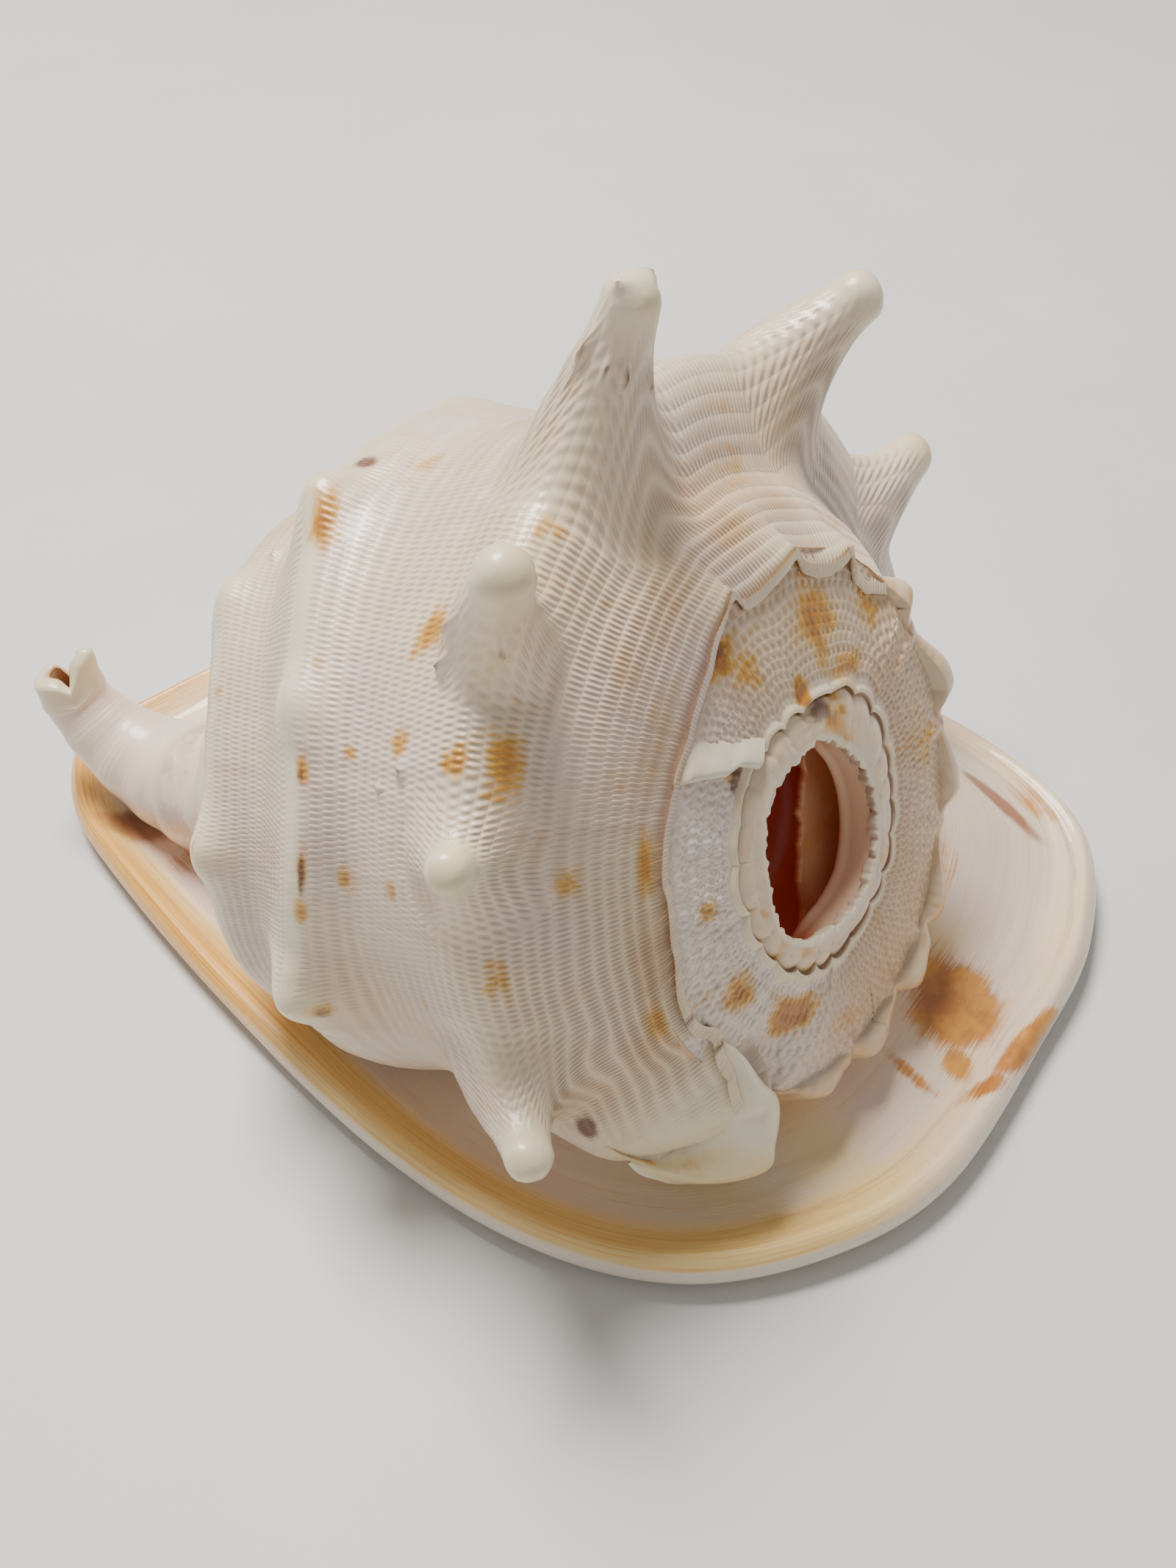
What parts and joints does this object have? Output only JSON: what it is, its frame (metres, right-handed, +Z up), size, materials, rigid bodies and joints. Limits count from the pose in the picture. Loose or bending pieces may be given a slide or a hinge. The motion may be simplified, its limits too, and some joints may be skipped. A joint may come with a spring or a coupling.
{
  "type": "horned helmet shell",
  "caption": "Large spiral sea shell with horned shoulder, flared rolled base, curled canal and a broken hole in its spire, resting on its flat aperture side.",
  "frame": {"origin": "middle of the shell's box, on the surface it rests on", "axes": "+X along the shell from the canal to the spire, +Y towards the outer lip, +Z up"},
  "size_m": [0.2256, 0.1793, 0.1504],
  "materials": {
    "shell": "glossy worn shell, cream and pale pink with ochre stains"
  },
  "bodies": {
    "root": {"helmet_shell": "shell"}
  },
  "joints": []
}
